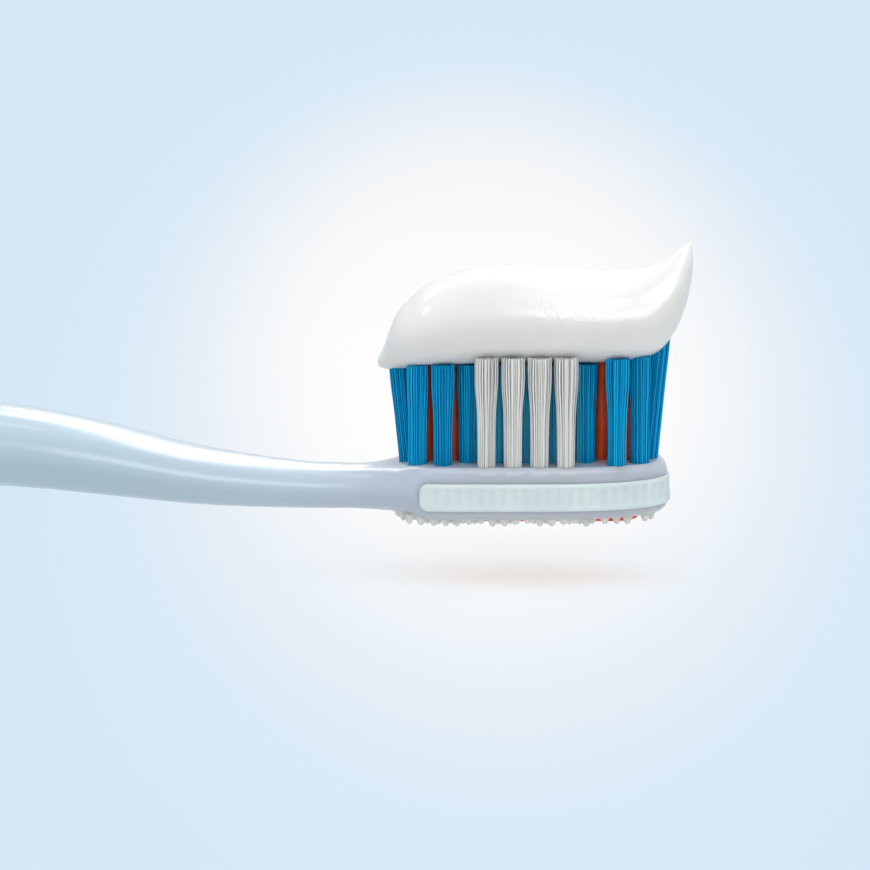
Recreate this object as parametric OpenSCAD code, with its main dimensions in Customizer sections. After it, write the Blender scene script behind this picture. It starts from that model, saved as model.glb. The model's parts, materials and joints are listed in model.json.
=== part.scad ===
// Manual toothbrush with a wave of toothpaste squeezed along its bristles.
// +X runs from the tail of the handle to the toe of the head, +Z is up, and the bristles point up.
// The origin is on the flat on the back of the grip, in the plane the brush lies on.

/* [Head] */
// Length of the head from its heel shoulder to its toe
head_len = 30.2; // [29.4:0.1:33]
// Width of the head
head_w = 13.1; // [12.8:0.1:15]
// Length of the heel, over which the head comes to its full width
heel_len = 4.6; // [4.4:0.05:4.8]
// Thickness of the head, from its back to the face that carries the bristles
head_t = 5.65; // [5.2:0.05:7]
// Height of the lip round the bristle face
rim_h = 0.12; // [0.05:0.01:0.3]
// Width of the lip round the bristle face
rim_w = 0.55; // [0.4:0.05:0.65]
// Radius of the head's upper edge
edge_top_r = 0.6; // [0.4:0.05:0.8]
// Height of the rounding over the upper edge of the toe
toe_round_h = 1.5; // [1:0.05:1.6]
// Depth of the rounding over the upper edge of the toe
toe_round_w = 1.2; // [0.8:0.05:1.3]
// Radius of the head's lower edge
edge_back_r = 1.5; // [1.1:0.05:1.6]
// How much narrower the head is at its face than at its back, on each side
side_draft = 0.3; // [0.1:0.05:0.4]
// Bluntness of the toe in plan, where 2 is an ellipse
toe_blunt = 2.5; // [2.4:0.05:3.2]

/* [Neck and handle] */
// Length of the whole brush without the paste
brush_len = 190; // [180:1:205]
// Width of the neck at its slimmest
neck_w = 6.8; // [6:0.1:8]
// Thickness of the neck at its slimmest
neck_t = 4.65; // [4:0.05:5]
// Height of the neck's underside above the table
neck_lift = 1.15; // [1:0.05:1.5]
// Length over which the head narrows to the neck
shoulder_len = 8.5; // [8:0.1:10]
// Length from the slimmest neck to the thumb rest
neck_len = 46; // [40:0.5:52]
// Width of the thumb rest
thumb_w = 12.2; // [11:0.1:14]
// Thickness of the thumb rest
thumb_t = 9.2; // [8:0.1:11]
// Height of the arch under the thumb rest
arch_h = 3.9; // [2.5:0.1:5]
// Width of the grip
grip_w = 13.2; // [12:0.1:15]
// Thickness of the grip
grip_t = 10; // [9:0.1:12]
// Depth of the flat that the grip lies on
flat_depth = 0.2; // [0.1:0.05:0.4]
// Width of the handle at its tail
tail_w = 11.2; // [10:0.1:12]
// Thickness of the handle at its tail
tail_t = 8.3; // [7.5:0.1:9]

/* [Side strip] */
// Height of the soft strip round the head's edge
strip_h = 2.95; // [2.4:0.05:3.1]
// Distance from the bristle face down to the strip
strip_drop = 1.55; // [1.3:0.05:1.8]
// Depth of the strip's seat in the head
strip_seat = 0.35; // [0.25:0.05:0.4]
// How far the strip stands proud of the head
strip_proud = 0.24; // [0.15:0.01:0.35]
// Length of the head's side that the strip leaves bare at the heel
strip_bare = 3.6; // [3.2:0.1:6]
// Corner radius of the strip's ends
strip_end_r = 0.9; // [0.6:0.05:1.15]

/* [Bristles] */
// Height of the inner tufts above the face
bristle_h = 10.65; // [9.8:0.05:11]
// Extra height of the white side tufts
white_extra = 1.2; // [1:0.05:1.8]
// Extra height of the blue tufts beside the heel cup
heel_extra = 0.2; // [0.1:0.05:0.8]
// Extra height of the blue tufts beside the toe cup
toe_extra = 0.95; // [0.8:0.05:1.6]
// Extra height of the single tuft at the toe
tip_extra = 2.5; // [2:0.05:2.8]
// Radius of a blue tuft where it leaves the face
tuft_r = 1; // [0.9:0.01:1.02]
// Radius of a white tuft where it leaves the face
white_r = 0.95; // [0.88:0.01:1]
// Radius of the small tufts at the heel and inside the cups
small_tuft_r = 0.85; // [0.78:0.01:0.88]
// How much wider an outer tuft grows on each side near its top
outer_flare = 0.32; // [0.15:0.01:0.34]
// How much wider an inner tuft grows on each side near its top
inner_flare = 0.2; // [0.1:0.01:0.22]
// Depth of the grooves between a tuft's strands
strand_groove = 0.13; // [0.06:0.01:0.16]
// Depth of the tuft holes
bore_depth = 2.8; // [2.4:0.05:3]
// Lean of the toe tuft and the heel tufts away from the middle, in degrees
end_lean = 5.5; // [3:0.5:7]
// Distance from the head's side to the middle of the white side tufts
side_margin = 1.75; // [1.7:0.05:1.9]
// Spacing of the white side tufts
white_pitch = 2.8; // [2.7:0.05:2.9]
// Distance along the head from the middle of a cup to the nearest white tuft
white_gap = 4.8; // [4.6:0.05:5]
// Spacing of the inner blue tufts along the head
inner_pitch = 3.13; // [3:0.01:3.2]
// Distance along the head from the middle of a cup to the nearest inner tuft
inner_gap = 2.83; // [2.7:0.01:2.9]
// Distance of the inner blue tufts from the middle line
inner_y = 2.07; // [2:0.01:2.15]

/* [Anchors] */
// Thickness of an anchor plate
anchor_t = 0.3; // [0.2:0.05:0.4]
// Height of an anchor plate
anchor_h = 1.1; // [0.8:0.05:1.3]
// How far each end of an anchor plate bites into the wall of its hole
anchor_bite = 0.15; // [0.1:0.01:0.18]

/* [Polishing cups] */
// Distance from each end of the head to the middle of its cup
cup_end = 5.9; // [5.8:0.05:6]
// Outer radius of a cup wall
cup_r = 2.2; // [2.1:0.05:2.25]
// Thickness of a cup wall at the face
cup_wall = 0.85; // [0.6:0.05:0.95]
// Thickness of a cup wall where it passes through the head
cup_root = 0.55; // [0.4:0.05:0.6]
// Angle that each of a cup's two walls covers, in degrees
cup_arc = 110; // [80:2:116]
// Distance that the cup walls stop short of the bristle tops
cup_short = 0.25; // [0.15:0.05:1]
// Radius of the orange ring round each cup's root on the back
back_ring_r = 2.6; // [2.5:0.05:2.8]
// Width of the bars that join the two rings
back_bar_w = 0.8; // [0.6:0.05:1]
// Height of the rings and bars above the back
back_ring_h = 0.85; // [0.4:0.05:0.9]

/* [Tongue cleaner] */
// Thickness of the soft pad let into the back of the head
pad_t = 0.5; // [0.4:0.05:0.6]
// Distance from the head's side to the edge of the pad
pad_margin = 1.3; // [1.2:0.05:1.8]
// Distance from the heel to the pad
pad_heel = 0.4; // [0.3:0.05:0.8]
// Height of the tallest nubs, which the head lies on
nub_h = 0.95; // [0.8:0.05:1.2]
// Radius of a nub at its root
nub_r = 0.58; // [0.45:0.01:0.6]
// Spacing of the nubs
nub_pitch = 1.25; // [1.25:0.05:1.6]

/* [Toothpaste] */
// Width of the paste at its widest
paste_w = 13; // [12:0.1:14]
// Height of the paste's tip above the inner tufts
paste_h = 12.35; // [11.8:0.05:12.9]
// Length of heel tufts that the paste hangs over
paste_drape = 3.6; // [3.4:0.1:3.7]
// Length of toe tufts that the paste rises along
paste_rise = 4.1; // [3.8:0.1:4.4]
// Gap between the paste and the tufts that stand in it
paste_gap = 0.05; // [0.03:0.01:0.06]

/* [Hidden] */
$fn = 48;
toe_x = head_len / 2;
heel_x = -toe_x;
cup_x = toe_x - cup_end;
// As many tufts in a row as fit between the cups
function row_count(gap, pitch) = max(1, floor(2 * (cup_x - gap) / pitch + 0.001) + 1);
WHITE_ROW = row_count(white_gap, white_pitch);
INNER_ROW = row_count(inner_gap, inner_pitch);
WHITE_COUNT = 2 * WHITE_ROW;
BLUE_COUNT = 3 * INNER_ROW + 12;

// Heights above the table
face_z = nub_h + head_t;
back_z = nub_h;
lip_z = face_z + rim_h;
// From the origin to the middle of the head
head_x = 128;
tail_x = toe_x - brush_len;
tail_round = 7;
half_w = head_w / 2;

function mix(a, b, t) = a + (b - a) * t;
function clamp01(t) = min(1, max(0, t));

// Triangles between n-sided rings of points, closed at both ends
function tube_faces(rings, n) = concat(
  [[for (j = [0:n - 1]) j]],
  [
    for (i = [0:rings - 2], j = [0:n - 1])
    let (a = i * n + j, b = i * n + (j + 1) % n)
    for (t = [[a, a + n, b + n], [a, b + n, b]]) t
  ],
  [[for (j = [n - 1:-1:0]) (rings - 1) * n + j]]
);

// Smooth curve through the rows of a table whose first column rises
function row_below(table, x, i = 0) =
  i + 2 >= len(table) || table[i + 1][0] > x ? i : row_below(table, x, i + 1);
function slope(table, i, c) =
  let (a = max(i - 1, 0), b = min(i + 1, len(table) - 1))
  (table[b][c] - table[a][c]) / (table[b][0] - table[a][0]);
function curve(table, x, c) =
  let (i = row_below(table, x), p = table[i], q = table[i + 1], w = q[0] - p[0], t = (x - p[0]) / w)
  p[c] * (2 * t * t * t - 3 * t * t + 1) + q[c] * (3 * t * t - 2 * t * t * t)
  + w * (slope(table, i, c) * (t * t * t - 2 * t * t + t) + slope(table, i + 1, c) * (t * t * t - t * t));

// How the head narrows to the neck: share of the shoulder, then shares of underside, top and width
SHOULDER = [
  [0.235, 0, 0.15, 0.15], [0.42, 0.08, 0.45, 0.46], [0.55, 0.24, 0.68, 0.69], [0.74, 0.64, 0.93, 0.93]
];
// How the neck grows to the thumb rest: share of the neck, then shares of underside, thickness and width
NECK = [
  [0.11, 0.01, 0.045, 0.07], [0.34, 0.17, 0.3, 0.44], [0.55, 0.54, 0.612, 0.74], [0.76, 0.89, 0.83, 0.89]
];

full_x = heel_x + heel_len;
heel_half_w = half_w - 0.1;
neck_x = full_x - shoulder_len;
thumb_x = neck_x - neck_len;
grip_low = -flat_depth;
function grip_at(share) = mix(tail_x, thumb_x, share);

// Rows from tail to head: x, underside, top, half width
PROFILE = concat(
  [
    [tail_x, 0.3, 0.3 + tail_t, tail_w / 2],
    [grip_at(0.1), 0, mix(tail_t, grip_t, 0.4), mix(tail_w, grip_w, 0.55) / 2],
    [grip_at(0.273), grip_low, grip_low + mix(tail_t, grip_t, 0.85), mix(tail_w, grip_w, 0.9) / 2],
    [grip_at(0.545), grip_low, grip_low + grip_t, grip_w / 2],
    [grip_at(0.7), 0.1 * arch_h, 0.1 * arch_h + 0.99 * grip_t, grip_w / 2],
    [grip_at(0.845), 0.6 * arch_h, 0.6 * arch_h + mix(grip_t, thumb_t, 0.4), mix(grip_w, thumb_w, 0.4) / 2],
    [thumb_x, arch_h, arch_h + thumb_t, thumb_w / 2]
  ],
  [
    for (i = [len(NECK) - 1:-1:0])
    let (s = NECK[i], low = mix(neck_lift, arch_h, s[1]))
    [neck_x - neck_len * s[0], low, low + mix(neck_t, thumb_t, s[2]), mix(neck_w, thumb_w, s[3]) / 2]
  ],
  [[neck_x, neck_lift, neck_lift + neck_t, neck_w / 2]],
  [
    for (i = [len(SHOULDER) - 1:-1:0])
    let (s = SHOULDER[i])
    [
      full_x - shoulder_len * s[0],
      mix(back_z, neck_lift, s[1]),
      mix(lip_z, neck_lift + neck_t, s[2]),
      mix(heel_half_w, neck_w / 2, s[3])
    ]
  ],
  [
    [full_x, back_z, lip_z, heel_half_w], [0.62 * full_x, back_z, lip_z, half_w], [0, back_z, lip_z, half_w]
  ]
);

// Share of the head's form at a place along the brush, from 0 in the neck to 1 in the head
function headness(x) = clamp01((x - neck_x) / (full_x - neck_x));
function tail_share(x) =
  x > tail_x + tail_round ? 1 : sqrt(max(0, 1 - pow((tail_x + tail_round - x) / tail_round, 2)));

// A station: x, underside, top, half width, normal x, normal y, radii of upper and lower edges, draft
function handle_station(x) =
  let (
    h = headness(x),
    s = tail_share(x),
    low = curve(PROFILE, x, 1),
    high = curve(PROFILE, x, 2),
    mid = (low + high) / 2,
    half_t = s * (high - low) / 2,
    w = s * curve(PROFILE, x, 3),
    blend = pow(h, 1.5),
    top_r = mix(8, edge_top_r, blend),
    back_r = mix(8, edge_back_r, h)
  )
  [
    x, mid - half_t, mid + half_t, w, 0, 1,
    min(top_r, 0.96 * w), min(top_r, 0.94 * half_t),
    min(back_r, 0.96 * w), min(back_r, 0.94 * half_t),
    side_draft * h
  ];

// The toe's outline in plan is a blunt ellipse, and edges are rounded along its own normal
function toe_station(a) =
  let (
    x = toe_x * pow(sin(a), 2 / toe_blunt),
    w = half_w * pow(cos(a), 2 / toe_blunt),
    gx = pow(x / toe_x, toe_blunt - 1) / toe_x,
    gy = pow(w / half_w, toe_blunt - 1) / half_w,
    g = norm([gx, gy]),
    tip = pow(sin(a), 4)
  )
  [
    x, back_z, lip_z, w, gx / g, gy / g,
    mix(edge_top_r, toe_round_w, tip), mix(edge_top_r, toe_round_h, tip),
    edge_back_r, edge_back_r, side_draft
  ];

TAIL_X = [for (a = [10, 28, 48, 68]) tail_x + tail_round * (1 - cos(a))];
GRIP_N = 16;
NECK_N = 13;
GRIP_X = [for (i = [0:GRIP_N]) mix(tail_x + tail_round, thumb_x, i / GRIP_N)];
NECK_X = [for (i = [1:NECK_N]) mix(thumb_x, neck_x, i / NECK_N)];
SHOULDER_X = [for (s = [0.86, 0.74, 0.64, 0.55, 0.47, 0.4, 0.32, 0.24, 0.12, 0]) full_x - shoulder_len * s];
HEAD_X = [0.81 * full_x, 0.52 * full_x, 0];
TOE_A = [2, 8, 16, 25, 34, 43, 52, 60, 68, 75, 81, 86, 90];

STATIONS = concat(
  [for (x = concat(TAIL_X, GRIP_X, NECK_X, SHOULDER_X, HEAD_X)) handle_station(x)],
  [for (a = TOE_A) toe_station(a)]
);

ARC = [0:18:90];
ARC_N = 6;
RING_N = 4 * ARC_N;

// A point of a station's outline: a is the angle round the edge, 0 on the side
function edge_point(s, side, upper, a) =
  let (
    ry = upper ? s[6] : s[8],
    rz = upper ? s[7] : s[9],
    z = upper ? s[2] - rz * (1 - sin(a)) : s[1] + rz * (1 - sin(a)),
    d = ry * (1 - cos(a)) + s[10] * (z - s[1]) / (s[2] - s[1])
  )
  [s[0] - d * s[4], side * max(0, s[3] - d * s[5]), z];

function section(s) = concat(
  [for (a = ARC) edge_point(s, 1, true, a)],
  [for (a = ARC) edge_point(s, -1, true, 90 - a)],
  [for (a = ARC) edge_point(s, -1, false, a)],
  [for (a = ARC) edge_point(s, 1, false, 90 - a)]
);

// Index of a ring's point, where the last ring is closed to one line down the middle of the toe
function ring_index(ring, last, j) =
  let (k = j % RING_N)
  ring * RING_N + (ring < last ? k : k >= ARC_N && k < 2 * ARC_N ? 2 * ARC_N - 1 - k
    : k >= 2 * ARC_N && k < 3 * ARC_N ? 6 * ARC_N - 1 - k : k);

function solid_triangles(rings) = [
  for (i = [0:rings - 2], j = [0:RING_N - 1])
  let (
    a = ring_index(i, rings - 1, j),
    b = ring_index(i, rings - 1, j + 1),
    c = ring_index(i + 1, rings - 1, j + 1),
    d = ring_index(i + 1, rings - 1, j)
  )
  for (t = [[a, d, c], [a, c, b]])
  if (t[0] != t[1] && t[1] != t[2] && t[0] != t[2]) t
];

module handle_blank() {
  polyhedron(
    points = [for (s = STATIONS) each section(s)],
    faces = concat([[for (j = [0:RING_N - 1]) j]], solid_triangles(len(STATIONS))),
    convexity = 6
  );
}

// Plan outline of the head at a depth in from its side, along +Y from the heel to the toe
PLAN = [for (s = STATIONS) if (s[0] > full_x - 0.7 * shoulder_len) s];
function plan_side(d, from_x) = [
  for (s = PLAN) if (s[0] >= from_x) [s[0] - d * s[4], max(0, s[3] - d * s[5])]
];
function both_sides(points) = concat(
  points,
  [for (i = [len(points) - 1:-1:0]) if (points[i][1] > 0.001) [points[i][0], -points[i][1]]]
);

// The bristle face ends in a rounded heel
face_heel_x = heel_x + 1.2;
face_round = 3;
function heel_share(x) =
  sqrt(max(0, 1 - pow(clamp01((face_heel_x + face_round - x) / face_round), 2)));
FACE_SIDE = concat(
  [
    for (a = [84, 72, 60, 46, 32, 16, 0])
    let (x = face_heel_x + face_round * (1 - sin(a)))
    [x, heel_share(x) * (curve(PROFILE, x, 3) - rim_w - side_draft)]
  ],
  plan_side(rim_w + side_draft, face_heel_x + face_round + 0.2)
);

module face_cut() {
  translate([0, 0, face_z]) linear_extrude(2) polygon(both_sides(FACE_SIDE));
}

// Tufts: x, y, root radius, height, lean, flare
side_y = half_w - side_margin;
WHITE_TUFTS = [
  for (side = [-1, 1], i = [0:WHITE_ROW - 1])
  [white_gap - cup_x + white_pitch * i, side * side_y, white_r, bristle_h + white_extra, 0, outer_flare]
];
first_inner_x = inner_gap - cup_x;
BLUE_TUFTS = concat(
  [for (side = [-1, 1]) [heel_x + 2.35, side * 1.12, small_tuft_r, bristle_h, -end_lean, inner_flare]],
  [for (side = [-1, 1]) [heel_x + 3.4, side * 2.95, tuft_r, bristle_h + heel_extra / 2, 0, inner_flare]],
  [for (side = [-1, 1]) [0.2 - cup_x, side * 3.5, tuft_r, bristle_h + heel_extra, 0, outer_flare - 0.05]],
  [
    for (side = [-1, 1], i = [0:INNER_ROW - 1])
    [first_inner_x + inner_pitch * i, side * inner_y, tuft_r, bristle_h, 0, inner_flare]
  ],
  [
    for (i = [0:1:INNER_ROW - 2])
    [first_inner_x + inner_pitch * (i + 0.5), 0, tuft_r, bristle_h, 0, inner_flare]
  ],
  [for (side = [-1, 1]) [side * cup_x, 0, small_tuft_r, bristle_h, 0, inner_flare]],
  [for (side = [-1, 1]) [cup_x + 0.2, side * 3.88, tuft_r, bristle_h + toe_extra, 0, outer_flare]],
  [for (side = [-1, 1]) [toe_x - 3.25, side * 2.45, tuft_r, bristle_h + toe_extra, 0, inner_flare]],
  [[toe_x - 2.4, 0, tuft_r, bristle_h + tip_extra, end_lean, inner_flare]]
);

module on_face(t) {
  translate([t[0], t[1], face_z]) rotate([0, t[4], 0]) children();
}

// The anchor plate lies across its hole, with a thin fold of filament under it
anchor_low = 0.25;
module anchor_plate(t) {
  length = 2 * (t[2] + anchor_bite);
  on_face(t)
    translate([-length / 2, -anchor_t / 2, anchor_low - bore_depth])
      cube([length, anchor_t, anchor_h]);
}

module tuft_bore(t) {
  on_face(t) translate([0, 0, -bore_depth]) cylinder(r = t[2], h = bore_depth + 1);
}

// A tuft's strands show as grooves down its sides, and it opens out towards its top
STRANDS = 9;
TUFT_RISE = [[0, 0], [0.5, 0.2], [0.85, 1], [1, 0.75]];
tuft_sink = 0.4;
tuft_play = 0.02;
module tuft(t) {
  points = [
    for (s = TUFT_RISE, j = [0:2 * STRANDS - 1])
    let (r = t[2] - tuft_play + t[5] * s[1] - (j % 2) * strand_groove, a = 180 * j / STRANDS + 7 * t[0])
    [r * cos(a), r * sin(a), mix(-tuft_sink, t[3], s[0])]
  ];
  difference() {
    on_face(t) {
      polyhedron(points = points, faces = tube_faces(len(TUFT_RISE), 2 * STRANDS), convexity = 4);
      translate([0, 0, -bore_depth]) cylinder(r = t[2], h = bore_depth);
    }
    anchor_plate(t);
  }
}

// Soft strip round the edge of the head
strip_top_z = face_z - strip_drop;
strip_low_z = strip_top_z - strip_h;
strip_from_x = heel_x + strip_bare;
// Stations close together where the strip's rounded ends begin
STRIP_END_X = [for (a = [8, 24, 42, 64, 90]) strip_from_x + strip_end_r * (1 - cos(a))];
STRIP_HALF = concat(
  [for (x = STRIP_END_X) handle_station(x)],
  [for (s = STATIONS) if (s[0] > strip_from_x + strip_end_r + 0.3) s]
);
function strip_drafted(z) = side_draft * (z - back_z) / (lip_z - back_z);
strip_mid_z = (strip_top_z + strip_low_z) / 2;

function strip_plan(d) = [
  for (s = STRIP_HALF)
  let (e = d + strip_drafted(strip_mid_z))
  [s[0] - e * s[4], max(0, s[3] - e * s[5])]
];

module strip_side_view() {
  r = strip_end_r;
  x1 = strip_from_x;
  rotate([90, 0, 0])
    linear_extrude(3 * head_w, center = true)
      union() {
        for (z = [strip_low_z + r, strip_top_z - r]) translate([x1 + r, z]) circle(r = r);
        translate([x1, strip_low_z + r]) square([r, strip_h - 2 * r]);
        translate([x1 + r, strip_low_z]) square([head_len, strip_h]);
      }
}

module strip_seat_cut() {
  inner = strip_plan(strip_seat);
  first = inner[0];
  intersection() {
    strip_side_view();
    difference() {
      translate([strip_from_x - 2, -head_w, strip_low_z]) cube([head_len + 8, 2 * head_w, strip_h]);
      translate([0, 0, strip_low_z - 1])
        linear_extrude(strip_h + 2)
          polygon(concat([[strip_from_x - 3, first[1]]], both_sides(inner), [[strip_from_x - 3, -first[1]]]));
    }
  }
}

// Section of the strip from its lower to its upper edge: share of the height, how far proud
STRIP_SECTION = [[0, 0], [0.03, 0.6], [0.12, 1], [0.88, 1], [0.97, 0.6], [1, 0]];
function strip_end_cut(x) =
  x >= strip_from_x + strip_end_r ? 0
  : strip_end_r - sqrt(max(0, pow(strip_end_r, 2) - pow(strip_from_x + strip_end_r - x, 2)));

function strip_ring(s, side) =
  let (
    cut = strip_end_cut(s[0]),
    low = strip_low_z + cut,
    high = strip_top_z - cut,
    soft = clamp01(0.3 + (s[0] - strip_from_x) / strip_end_r),
    inner = strip_seat + strip_drafted(strip_mid_z),
    outer = [
      for (p = STRIP_SECTION)
      let (z = mix(low, high, p[0]), e = strip_drafted(z) - (0.04 + (strip_proud - 0.04) * p[1] * soft))
      [s[0] - e * s[4], side * (s[3] - e * s[5]), z]
    ],
    back_x = s[0] - inner * s[4],
    back_y = side * max(0, s[3] - inner * s[5])
  )
  concat([[back_x, back_y, low]], outer, [[back_x, back_y, high]]);

module side_strip() {
  rings = concat(
    [for (s = STRIP_HALF) strip_ring(s, -1)],
    [for (i = [len(STRIP_HALF) - 2:-1:0]) strip_ring(STRIP_HALF[i], 1)]
  );
  faces = tube_faces(len(rings), len(STRIP_SECTION) + 2);
  color("#CFE0DF") place() polyhedron(points = [for (r = rings) each r], faces = faces, convexity = 8);
}

// Orange cups: two facing walls each, moulded through the head and joined on the back
module arc_wall(angle, profile) {
  rotate([0, 0, angle - cup_arc / 2]) rotate_extrude(angle = cup_arc) polygon(profile);
}
cup_top_z = face_z + bristle_h - cup_short;
cup_bore_r = cup_r - cup_wall;
cup_root_r = cup_bore_r + cup_root;
module cup_roots(low) {
  for (side = [-1, 1], angle = [0, 180])
    translate([side * cup_x, 0, 0])
      arc_wall(angle, [[cup_bore_r, low], [cup_root_r, low], [cup_root_r, face_z], [cup_bore_r, face_z]]);
}
module cup_walls() {
  for (side = [-1, 1], angle = [0, 180])
    translate([side * cup_x, 0, 0])
      arc_wall(angle, [
        [cup_bore_r, back_z], [cup_root_r, back_z], [cup_root_r, face_z], [cup_r, face_z],
        [cup_r - 0.08, cup_top_z - 0.35], [cup_r - 0.3, cup_top_z],
        [cup_bore_r + 0.2, cup_top_z], [cup_bore_r, cup_top_z - 0.25]
      ]);
}
// Two rings joined by two bars, seated in the soft pad and reaching a little inside the roots
ring_seat = 0.25;
ring_lip = 0.15;
module back_rings(low, high) {
  translate([0, 0, low])
    linear_extrude(high - low)
      difference() {
        union() {
          for (side = [-1, 1]) translate([side * cup_x, 0]) circle(r = back_ring_r);
          for (side = [-1, 1])
            translate([0, side * (back_ring_r - back_bar_w / 2)])
              square([2 * cup_x, back_bar_w], center = true);
        }
        for (side = [-1, 1]) translate([side * cup_x, 0]) circle(r = cup_bore_r - ring_lip);
      }
}
module polishing_cups() {
  color("#C2401F") place() {
    cup_walls();
    back_rings(back_z - min(back_ring_h, nub_h), back_z + ring_seat);
  }
}

// Pad with soft nubs on the back of the head
pad_heel_x = heel_x + pad_heel;
pad_side_y = heel_half_w - pad_margin;
PAD_SIDE = concat(
  [
    for (a = [80, 62, 44, 24, 0])
    let (x = pad_heel_x + face_round * (1 - sin(a)))
    [x, cos(a) * pad_side_y]
  ],
  plan_side(pad_margin, pad_heel_x + face_round + 0.3)
);
module pad_sheet(low) {
  translate([0, 0, low]) linear_extrude(back_z + pad_t - low) polygon(both_sides(PAD_SIDE));
}

// Nubs stand in staggered rows, tall and short ones mixed, clear of the orange rings
function nub_size(i, j) = min(1, 0.52 + 0.62 * abs(sin(97 * i + 41 * j + 13 * i * j)));
nub_row_pitch = nub_pitch * 0.87;
nub_inset = 0.6 * nub_r;
nub_reach_x = toe_x - pad_margin - nub_inset;
nub_reach_y = pad_side_y - nub_inset;
nub_cols = floor(toe_x / nub_pitch);
nub_rows = floor(nub_reach_y / nub_row_pitch);
function nub_inside(x, y) =
  x > 0
  ? pow(x / nub_reach_x, toe_blunt) + pow(abs(y) / nub_reach_y, toe_blunt) <= 1
  : norm([max(0, pad_heel_x + face_round - x) / (face_round - nub_inset), y / nub_reach_y]) <= 1;
function on_rings(x, y) =
  let (bar_y = back_ring_r - back_bar_w / 2, room = nub_r + 0.03)
  norm([abs(x) - cup_x, y]) < back_ring_r + room
  || (abs(x) < cup_x && abs(abs(y) - bar_y) < back_bar_w / 2 + room);
module tongue_cleaner() {
  color("#C9CFCA") place() {
    difference() {
      pad_sheet(back_z);
      back_rings(back_z - 1, back_z + ring_seat);
      cup_roots(back_z - 1);
    }
    for (i = [-nub_cols:nub_cols], j = [-nub_rows:nub_rows])
      let (x = (i + (abs(j) % 2) / 2) * nub_pitch, y = j * nub_row_pitch, tall = nub_h * nub_size(i, j))
      if (nub_inside(x, y) && !on_rings(x, y))
        translate([x, y, back_z - tall])
          cylinder(r1 = nub_r * 0.35, r2 = nub_r, h = tall + 0.1, $fn = 16);
  }
}

module handle() {
  color("#AFC0CF") place()
    difference() {
      handle_blank();
      face_cut();
      strip_seat_cut();
      translate([tail_x - 10, -20, -10]) cube([brush_len - 20, 40, 10]);
      for (t = WHITE_TUFTS) tuft_bore(t);
      for (t = BLUE_TUFTS) tuft_bore(t);
      for (t = WHITE_TUFTS) anchor_plate(t);
      for (t = BLUE_TUFTS) anchor_plate(t);
      cup_roots(back_z);
      pad_sheet(back_z - 1);
    }
}

module anchor_plates() {
  color("#C9B37E") place() {
    for (t = WHITE_TUFTS) anchor_plate(t);
    for (t = BLUE_TUFTS) anchor_plate(t);
  }
}

module white_tuft(i) {
  color("#D8DAD6") place() tuft(WHITE_TUFTS[i - 1]);
}
module blue_tuft(i) {
  color("#0F83C0") place() tuft(BLUE_TUFTS[i - 1]);
}

// Paste stations from the heel tip to the toe tip: share of the half head length, middle above the
// inner tufts and half thickness as shares of the paste's height, tilt in degrees, share of the width
PASTE = [
  [-1.04, -0.032, 0.045, 10, 0.14],
  [-0.997, 0.008, 0.097, 10, 0.3],
  [-0.947, 0.085, 0.17, 9, 0.5],
  [-0.887, 0.166, 0.243, 7, 0.67],
  [-0.801, 0.224, 0.297, 6, 0.81],
  [-0.666, 0.297, 0.36, 4, 0.92],
  [-0.47, 0.353, 0.399, 1, 0.98],
  [-0.192, 0.39, 0.421, 0, 1],
  [0.086, 0.39, 0.417, 0, 1],
  [0.371, 0.377, 0.402, 0, 0.985],
  [0.629, 0.371, 0.387, 3, 0.96],
  [0.844, 0.423, 0.365, 10, 0.89],
  [0.967, 0.547, 0.302, 15.7, 0.71],
  [1.046, 0.684, 0.23, 17.4, 0.53],
  [1.096, 0.808, 0.16, 19.6, 0.36],
  [1.125, 0.911, 0.093, 21.8, 0.2],
  [1.136, 1, 0.024, 24, 0.05]
];
PASTE_RING = 24;
// Rows are spaced by their place along the list, so that steep ends stay smooth
PASTE_ROWS = [for (i = [0:len(PASTE) - 1]) concat([i], PASTE[i])];
PASTE_STEPS = 2;
function paste_ring(u) =
  let (
    x = curve(PASTE_ROWS, u, 1) * toe_x,
    z = face_z + bristle_h + curve(PASTE_ROWS, u, 2) * paste_h,
    half_t = curve(PASTE_ROWS, u, 3) * paste_h,
    tilt = curve(PASTE_ROWS, u, 4),
    half = curve(PASTE_ROWS, u, 5) * paste_w / 2
  )
  [
    for (j = [0:PASTE_RING - 1])
    let (a = 360 * j / PASTE_RING)
    [x - half_t * sin(a) * sin(tilt), half * cos(a), z + half_t * sin(a) * cos(tilt)]
  ];

module paste_body() {
  rings = [for (i = [0:(len(PASTE) - 1) * PASTE_STEPS]) paste_ring(i / PASTE_STEPS)];
  polyhedron(points = [for (r = rings) each r], faces = tube_faces(len(rings), PASTE_RING), convexity = 6);
}

// The paste lies flat on the ends of the inner tufts, and hangs over the heel tufts
paste_flat_x = heel_x + paste_drape;
function stands_in_paste(t) = t[3] > bristle_h || t[0] < paste_flat_x;
socket_h = 1.5;
module tuft_socket(t) {
  on_face(t)
    translate([0, 0, bristle_h - socket_h])
      cylinder(r = t[2] + t[5] + paste_gap, h = t[3] - bristle_h + socket_h);
}

module toothpaste() {
  color("#F4F6F4") place()
    difference() {
      paste_body();
      translate([paste_flat_x, -head_w, face_z])
        cube([toe_x - paste_rise - paste_flat_x, 2 * head_w, bristle_h]);
      for (t = WHITE_TUFTS) tuft_socket(t);
      for (t = BLUE_TUFTS) if (stands_in_paste(t)) tuft_socket(t);
    }
}

module place() {
  translate([head_x, 0, 0]) children();
}

handle();
side_strip();
tongue_cleaner();
polishing_cups();
anchor_plates();
toothpaste();
for (i = [1:WHITE_COUNT]) white_tuft(i);
for (i = [1:BLUE_COUNT]) blue_tuft(i);
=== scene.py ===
import json
import math

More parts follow.
